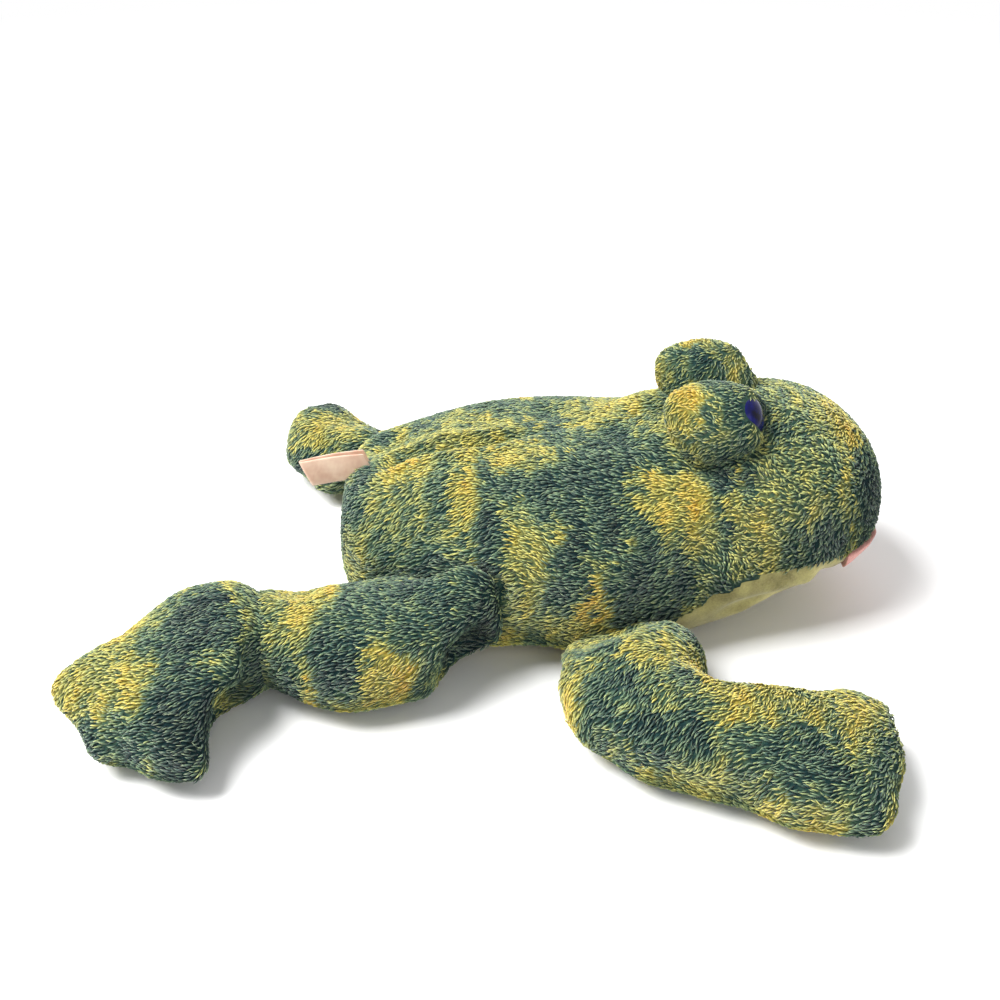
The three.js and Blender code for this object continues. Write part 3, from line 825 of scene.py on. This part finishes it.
# Torso: one bag, its back in plush and its belly in velour; a fold is a line, a width and a depth
torsoForm = {
    "neck": 39,
    "cloth": 1.2,
    "edgeSmooth": 2,
    "pulls": [
        ((5, 4, 47), 24, (0, 0, -2.8)),
        ((-28, 12, 42), 20, (1, 0, -2.6)),
        ((14, 11, 47), 9, (0, 0, -1.2)),
        ((-14, -16, 42), 15, (0, -0.8, 1.4)),
        ((92, 0, 14), 12, (0, 0, 1.5)),
        ((36, 4, 50), 14, (0, 0, 2)),
        ((44, -10, 52), 13, (0, 0, 3)),
        ((44, 10, 52), 13, (0, 0, 3)),
        ((101, 0, 20), 14, (-2.5, 0, 0.8)),
        ((104, -6, 17), 13, (-4, 0, 0.2)),
        ((104, 6, 17), 13, (-4, 0, 0.2)),
        ((72, -22, 4), 14, (0, 5, 2)),
        ((72, 22, 4), 14, (0, -5, 2)),
        ((-34, 14, 38), 13, (1.5, -1, -3)),
        ((10, -46, 5), 13, (0, 2, 0.5)),
    ],
    "folds": [
        ([(-33, -6, 38), (-24, -3, 42), (-12, -4, 44.5), (-2, -3, 46), (8, 1, 47)], 2.8, 3.4),
        ([(-44, -34, 26), (-24, -41, 29), (-8, -43, 31), (0, -45, 27), (1, -46, 20)], 2.4, 4),
        ([(-38, 0, 36), (-10, 0, 45), (30, 0, 48), (60, 0, 56), (95, 0, 50)], 1.4, 0.5),
        ([(58, -37, 12), (68, -33, 14), (80, -27, 15), (88, -18, 14)], 2.2, 1.4),
        ([(86, -30, 22), (85, -22, 15), (84, -8, 11), (84, 8, 11), (85, 22, 15), (86, 30, 22)], 2.4, 1.6),
        ([(50, -12, 49), (54, -22, 47), (62, -27, 46), (70, -27, 46)], 2.6, 1.6),
        ([(50, 12, 49), (54, 22, 47), (62, 27, 46), (70, 27, 46)], 2.6, 1.6),
    ],
}
torso = sewBag("torsoBag", ["back_panel_right", "back_panel_left", "belly_panel", "mouth_felt",
                            "head_fibre", "belly_pellets"])
shape(torso, torsoForm)
trees = {"torso": treeOf(torso)}
for name, nodeName, look, slotName, facing in (
        ("headFibreFill", "head_fibre", fibreLook, "fibre_fill", 1),
        ("bellyPelletFill", "belly_pellets", pelletLook, "pellet_fill", -1)):
    neck = (torsoForm["neck"] + facing * fillForm["fromNeck"]) * mm
    addFilling(name, torso, nodeName, look, [((neck, 0, 0), (facing, 0, 0))], "torso")

# The side seam follows the top edge of the belly's panel, read at steps along it, in metres
seamForm = {"from": -0.044, "to": 0.0925, "step": 0.004, "reach": 0.005, "rise": 0.0002, "overlap": 0.0003}

bellyPoints = readPoints(nodes["belly_panel"])
seamX = np.arange(seamForm["from"], seamForm["to"], seamForm["step"])
seamZ = np.array([bellyPoints[np.abs(bellyPoints[:, 0] - x) < seamForm["reach"], 2].max() for x in seamX])


def seamAt(x):
    return np.interp(x, seamX, seamZ) + seamForm["rise"]


def cutPanel(name, above):
    panel = copyOf(torso)
    panel.name = name
    points = readPoints(panel)
    wrong = (points[:, 2] > seamAt(points[:, 0])) != above
    pick(panel)
    bpy.ops.object.mode_set(mode="EDIT")
    bpy.ops.mesh.select_all(action="DESELECT")
    bpy.ops.object.mode_set(mode="OBJECT")
    faces = panel.data.polygons
    faces.foreach_set("select", np.array([wrong[list(face.vertices)].all() for face in faces]))
    bpy.ops.object.mode_set(mode="EDIT")
    bpy.ops.mesh.delete(type="FACE")
    bpy.ops.object.mode_set(mode="OBJECT")
    useModifier(panel, "SMOOTH", factor=0.5, iterations=torsoForm["edgeSmooth"])
    useModifier(panel, "SOLIDIFY", thickness=torsoForm["cloth"] * mm, offset=-1)
    return panel


backPanel = cutPanel("backPlush", True)
bellyPanel = cutPanel("bellyVelourPanel", False)
finishSkin(backPanel, skinLooks["torso"], "torso", ["back_panel_right", "back_panel_left"],
           rounded=False)
finishSkin(bellyPanel, velour, "torso", ["belly_panel"])
print("torso sewn")

# Mouth: it is pulled as the torso is, and once more
mouthForm = {"voxel": 0.35, "smooth": 14, "pull": ((103, 0, 21), 40, (0.5, 0, -0.3))}
mouth = joinCopies("mouthFeltStrip", ["mouth_felt"], mouthForm["voxel"], mouthForm["smooth"])
grab(mouth, torsoForm["pulls"] + [mouthForm["pull"]])
finishSkin(mouth, felt, "torso", ["mouth_felt"])
print("mouth ready")

# Eye domes and eyes, with their places on the left side
domeForm = {
    "voxel": 0.8,
    "smooth": 4,
    "inset": 0.3,
    "pulls": [
        ((62.5, 6.5, 61), 12, (5.5, -1, -2)),
        ((63.5, 20.5, 57), 9, (3, 0.8, 0.3)),
        ((61.5, 13.5, 65), 8, (2.4, 0, 0.1)),
        ((44.5, 12.5, 62), 10, (-2, 0, 1.5)),
    ],
}
eyeForm = {
    "centre": (55.5, 12.5, 56),
    "out": 18,
    "up": 22,
    "radius": 5.6,
    "bulge": 3.6,
    "backShare": 0.2,
    "set": 0.4,
    "shank": {"radius": 1.3, "length": 5.4, "middle": -3.3, "rounding": 0.3},
    "clear": 0.3,
}


def mirrored(place, sign):
    return (place[0], sign * place[1], place[2])


def makeBead(name):
    # a domed bead with its shank behind it, facing along Z
    deselectAll()
    bpy.ops.mesh.primitive_uv_sphere_add(segments=40, ring_count=24, radius=eyeForm["radius"] * mm)
    bead = bpy.context.object
    bead.name = name
    points = readPoints(bead)
    points[:, 2] *= np.where(points[:, 2] < 0, eyeForm["backShare"], eyeForm["bulge"] / eyeForm["radius"])
    writePoints(bead, points)
    deselectAll()
    form = eyeForm["shank"]
    bpy.ops.mesh.primitive_cylinder_add(vertices=20, radius=form["radius"] * mm, depth=form["length"] * mm,
                                        location=(0, 0, form["middle"] * mm))
    useModifier(bpy.context.object, "BEVEL", width=form["rounding"] * mm, segments=2)
    bead.select_set(True)
    bpy.context.view_layer.objects.active = bead
    bpy.ops.object.join()
    return bead


for side, sign in sides.items():
    dome = joinCopies("eyeDome_" + side, ["eye_dome_" + side, "eye_dome_fibre_" + side],
                      domeForm["voxel"], domeForm["smooth"])
    shrink(dome, domeForm["inset"])
    grab(dome, [(mirrored(place, sign), reach, mirrored(move, sign))
                for place, reach, move in domeForm["pulls"]])
    finishSkin(dome, skinLooks["dome"], "torso", ["eye_dome_" + side])
    trees["eye_dome_" + side] = treeOf(dome)
    out, up = math.radians(eyeForm["out"]), math.radians(eyeForm["up"])
    aim = Vector((math.cos(up) * math.cos(out), sign * math.cos(up) * math.sin(out), math.sin(up)))
    washer = min((v.co for v in nodes["eye_washer_" + side].data.vertices), key=aim.dot)
    addFilling("eyeDomeFill_" + side, dome, "eye_dome_fibre_" + side, fibreLook,
               [(washer - aim * (fillForm["fromWasher"] * mm), -aim)], "torso")
    front = max(aim.dot(v.co) for v in nodes["eye_" + side].data.vertices)
    centre = Vector(mirrored(eyeForm["centre"], sign)) * mm
    eye = makeBead("eyeBead_" + side)
    eye.rotation_euler = aim.to_track_quat("Z", "Y").to_euler()
    eye.location = centre + aim * (front - aim.dot(centre) - (eyeForm["bulge"] + eyeForm["set"]) * mm)
    applyPlace(eye)
    bpy.ops.object.shade_smooth()
    eye.data.materials.append(eyePlastic)
    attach(eye, "torso")
    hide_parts("eye_" + side)
print("eyes set")

# Label: a bare satin tape folded back on itself, sewn into the back seam
labelForm = {
    "root": (-36, -1.2, 37.4),
    "tip": (-53.6, -3, 35),
    "edge": (-0.36, -0.08, 0.92),
    "width": 8.6,
    "fold": 0.5,
    "bow": 0.7,
    "curl": 0.4,
    "thick": 0.24,
    "sewnIn": 1.04,
    "gape": 1.2,
}
deselectAll()
bpy.ops.mesh.primitive_grid_add(x_subdivisions=60, y_subdivisions=10, size=2)
label = bpy.context.object
label.name = "satinLabel"
root, tip = (Vector(labelForm[end]) * mm for end in ("root", "tip"))
edge = Vector(labelForm["edge"]).normalized()
reach = (tip - root).length
along = (tip - root).normalized()
outward = along.cross(edge).normalized()
points = readPoints(label)
run, across = points[:, 0] * labelForm["sewnIn"], points[:, 1]
fold = labelForm["fold"] * mm
drawn = np.sqrt((run * reach) ** 2 + fold ** 2)
depth = run * reach / drawn * fold * (1 + labelForm["gape"] * np.abs(run))
distance = reach - drawn + fold
share = distance / reach
depth += np.sin(share * math.pi) * labelForm["bow"] * mm + across ** 2 * share * labelForm["curl"] * mm
writePoints(label, np.array(root) + distance[:, None] * np.array(along)
            + (across * labelForm["width"] / 2 * mm)[:, None] * np.array(edge)
            + depth[:, None] * np.array(outward))
useModifier(label, "SOLIDIFY", thickness=labelForm["thick"] * mm, offset=0)
subdivide(label)
pick(label)
bpy.ops.object.shade_smooth()
label.data.materials.append(satin)
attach(label, "torso")
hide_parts("care_label")
print("label sewn in")

# Coats: lengths in millimetres, stray in degrees; the comb is the way that the locks lie
coats = {
    "torso": {"spacing": 0.64, "length": 2.5, "width": 0.27, "lift": 0.72, "comb": (-1, 0, -0.12),
              "stray": 24, "curlFrom": 45, "seed": 11},
    "dome": {"spacing": 0.64, "length": 1.9, "width": 0.25, "lift": 0.6, "comb": (-0.7, 0, -0.7),
             "stray": 50, "seed": 12},
    "foreleg": {"spacing": 0.68, "length": 2.5, "width": 0.27, "lift": 0.72, "comb": (-0.85, -0.45, -0.25),
                "stray": 28, "seed": 13},
    "hind_leg": {"spacing": 0.68, "length": 2.5, "width": 0.27, "lift": 0.72, "comb": (-1, -0.15, -0.2),
                 "stray": 24, "seed": 14},
    "hind_foot": {"spacing": 0.68, "length": 2.5, "width": 0.27, "lift": 0.72, "comb": (-1, -0.2, -0.2),
                  "stray": 22, "seed": 15},
}
# A lock is left out where its root lies deeper than this in another bag, in millimetres
buried = {"limb": 1.2, "torso": 1}


def sewLimb(limb, form):
    # one skin with its filling and coat, at the seam it hangs on
    kind, side = limb.rsplit("_", 1)
    parts = [f"{kind}_upper_{side}", f"{kind}_under_{side}"]
    pellets = f"{kind}_pellets_{side}"
    skin = sewBag(form["name"] + "Bag_" + side, parts + [pellets], form["pads"])
    shape(skin, form)
    finishSkin(skin, skinLooks[kind], None, parts)
    trees[limb] = treeOf(skin)
    pivot, out = pivots[form["joint"]], Vector(form["out"])
    inset = fillForm["fromSeam"] * mm
    cuts = [(pivot + out * inset, out)]
    if "ankle" in form:
        ankle, inwards = form["ankle"]
        cuts.append((pivots[ankle] + Vector(inwards) * inset, inwards))
    filling = addFilling(form["name"] + "Fill_" + side, skin, pellets, pelletLook, cuts)
    covers = [trees[body] for body in sorted({form["parent"], "torso"})]
    coat = growCoat(form["name"] + "Coat_" + side, skin, coatLooks[kind], coats[kind],
                    clearOf(covers, buried["limb"]))
    before, after = (reach * mm for reach in form["bend"])
    span = (pivot - out * before, pivot + out * after)
    for piece in (skin, filling, coat):
        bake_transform(piece)


# Legs: each hangs on the body's seam and points out from it; a pad is a middle, a half size and a turn
legBend = (3, 9)
legForms = {
    "foreleg_right": {
        "name": "foreleg", "joint": "shoulder_right", "parent": "torso", "bend": legBend,
        "out": (0.21, -0.978, 0),
        "pads": [((33, -50, 10), (19, 11, 9.5), 12), ((40, -60, 11), (12.5, 21, 11.5), 0)],
        "pulls": [
            ((88, -76, 12), 15, (4.5, 6, 0.8)),
            ((84, -104, 6), 15, (0.5, -6.5, 0)),
            ((45, -104, 6), 24, (0, 3, 0)),
            ((34, -45, 24), 12, (0, -1, -4)),
            ((46, -44, 17), 11, (0, 1, -3)),
            ((25, -51, 19), 14, (0, -0.5, -5)),
            ((15, -75, 10), 18, (-2.5, -1, 0)),
            ((93, -90, 10), 12, (2.5, 0, 0)),
            ((68, -104, 5), 16, (0, -4, 0)),
            ((90, -70, 13), 9, (-2, -3, 0)),
        ],
    },
    "foreleg_left": {
        "name": "foreleg", "joint": "shoulder_left", "parent": "torso", "bend": legBend,
        "out": (0.21, 0.978, 0),
        "pads": [((33, 50, 10), (19, 11, 9.5), -12)],
        "pulls": [((36, 46, 22), 17, (0, 2, -8))],
    },
    "hind_leg_right": {
        "name": "hind_leg", "joint": "hip_right", "parent": "torso", "bend": legBend,
        "out": (-0.386, -0.922, 0),
        "ankle": ("ankle_right", (0.643, 0.766, 0)),
        "pads": [((-20, -43, 13.5), (22, 12, 13), -23), ((-11, -43, 17), (11, 8, 11), 0)],
        "pulls": [
            ((-3, -62, 9), 17, (-6, 13, 0)),
            ((-8, -45, 24), 15, (2, 2, 4)),
            ((-40, -72, 6), 20, (0, -3, 0)),
            ((-7, -52, 3), 15, (0, 4, 2.5)),
            ((-58, -44, 22), 12, (0, 1, 1.5)),
            ((-52, -41, 22), 9, (0, -1, -2.5)),
        ],
    },
    "hind_leg_left": {
        "name": "hind_leg", "joint": "hip_left", "parent": "torso", "bend": legBend,
        "out": (-0.386, 0.922, 0),
        "ankle": ("ankle_left", (0.94, -0.342, 0)),
        "pads": [((-8, 46, 13), (19, 11, 12.5), 23)],
        "pulls": [((-14, 66, 19), 20, (0, -9, -7)), ((-27, 54, 21), 14, (0, -4, -8))],
    },
}
for limb, form in legForms.items():
    sewLimb(limb, form)
print("legs sewn on")


# Hind feet, each splayed from straight back by some degrees
def splayed(degrees, sign):
    return (-math.cos(math.radians(degrees)), sign * math.sin(math.radians(degrees)), 0)


footBend = (6, 9)
footForms = {
    "hind_foot_right": {
        "name": "hindFoot", "joint": "ankle_right", "parent": "hind_leg_right", "bend": footBend,
        "out": splayed(50, sides["right"]),
        "pads": [((-66, -50, 11), (13, 13, 12), 0)],
        "pulls": [
            ((-80, -42, 13), 24, (0, 8, 2)),
            ((-60, -78, 8), 16, (-6, 8, 0)),
            ((-109, -70, 12), 15, (-4.5, 3, 1)),
            ((-74, -94, 5), 12, (0, -2, 0)),
            ((-98, -62, 14), 12, (0, 3, 1)),
            ((-98, -86, 6), 13, (-1, -5, 0)),
            ((-69, -88, 6), 10, (2.5, -3.5, 0)),
            ((-63, -70, 5), 12, (-4, 9, 0)),
            ((-66, -44, 22), 14, (0, 2, 2.5)),
        ],
    },
    "hind_foot_left": {
        "name": "hindFoot", "joint": "ankle_left", "parent": "hind_leg_left", "bend": footBend,
        "out": splayed(20, sides["left"]),
        "pads": [((-25, 50, 11), (11, 11, 11), 0)],
        "pulls": [
            ((-38, 74, 14), 21, (-2, -14, -4)),
            ((-26, 76, 14), 19, (-3, -14, -6)),
            ((-29, 54, 22), 17, (0, -6, -11)),
            ((-62, 54, 12), 25, (-1, 7, 1)),
            ((-36, 38, 10), 14, (0, 3, 0)),
            ((-45, 58, 22), 14, (0, -1, -4)),
            ((-54, 40, 5), 10, (0, -6, 0)),
            ((-64, 62, 14), 12, (-0.5, 2.5, 1.5)),
        ],
    },
}
for limb, form in footForms.items():
    sewLimb(limb, form)
print("feet sewn on")


# Coats of the torso and the eye domes
def onBack(sign):
    clear = clearOf([tree for body, tree in trees.items() if body != "torso"], buried["torso"])
    return lambda place: (place.y * sign >= 0 and place.z >= seamAt(place.x) - seamForm["overlap"]
                          and clear(place))


offTorso = clearOf([trees["torso"]], buried["torso"])
for side, sign in sides.items():
    coat = growCoat("backCoat_" + side, torso, coatLooks["torso"], coats["torso"], onBack(sign))
    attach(coat, "torso")
    dome = bpy.data.objects["eyeDome_" + side]
    eyeTree = treeOf(bpy.data.objects["eyeBead_" + side])
    coat = growCoat("eyeDomeCoat_" + side, dome, coatLooks["dome"], coats["dome"],
                    lambda place: offTorso(place) and not isInside(eyeTree, place, 0)
                    and eyeTree.find_nearest(place)[3] > eyeForm["clear"] * mm)
    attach(coat, "torso")
bpy.data.objects.remove(torso)
print("coats grown")

# The washers stay as the model has them
for name, node in nodes.items():
    if "washer" in name:
        node.data.materials.clear()
        node.data.materials.append(washerLook)

# Floor, light and background, in metres; the floor's cloud is in millimetres, as every noise is
floorForm = {"size": 8, "drop": 0.0002, "fade": (0.35, 0.8), "cloud": 60}

deselectAll()
bpy.ops.mesh.primitive_plane_add(size=floorForm["size"], location=(0, 0, -floorForm["drop"]))
floor = bpy.context.object
floor.name = "paleFloor"
bench = newLook("paleFloor", Roughness=0.9, Specular_IOR_Level=0.1)
place = bench.objectPlace()
bench.feed("Base Color", bench.ramp([(0.0, paint(246, 246, 246)), (1.0, paint(250, 250, 250))],
                                    bench.noise(place, floorForm["cloud"])))
away = bench.vector("LENGTH", place, output=1)
paper = bench.add("ShaderNodeEmission", None, {"Color": (1, 1, 1, 1), "Strength": 1})
mixed = bench.add("ShaderNodeMixShader", None, {0: bench.between(away, *floorForm["fade"]) * bench.seen(),
                                                1: Wire(bench, bench.shader.outputs[0]), 2: paper})
bench.tree.links.new(mixed.socket, bench.tree.nodes["Material Output"].inputs["Surface"])
floor.data.materials.append(bench.owner)

lightAim = Vector((0, 0, 0.02))
lightSetup = [
    {"name": "keyLight", "place": (-0.62, -0.14, 0.96), "size": 0.65, "watts": 24},
    {"name": "fillLight", "place": (0.4, -0.9, 0.5), "size": 0.8, "watts": 2.5},
    {"name": "backLight", "place": (0.1, 0.9, 0.8), "size": 0.9, "watts": 5},
]
for setup in lightSetup:
    deselectAll()
    bpy.ops.object.light_add(type="AREA", location=setup["place"])
    lamp = bpy.context.object
    lamp.name = setup["name"]
    lamp.data.size = setup["size"]
    lamp.data.energy = setup["watts"]
    lamp.rotation_euler = (lightAim - Vector(setup["place"])).to_track_quat("-Z", "Y").to_euler()

# The room is white where it is seen and dimmer where it only gives light
roomLight = {"seen": 1.0, "unseen": 0.4}

scene.world = bpy.data.worlds.new("softRoom")
room = Bench(scene.world, "Background", Color=(1, 1, 1, 1))
room.feed("Strength", room.seen() * (roomLight["seen"] - roomLight["unseen"]) + roomLight["unseen"])
print("stage lit")
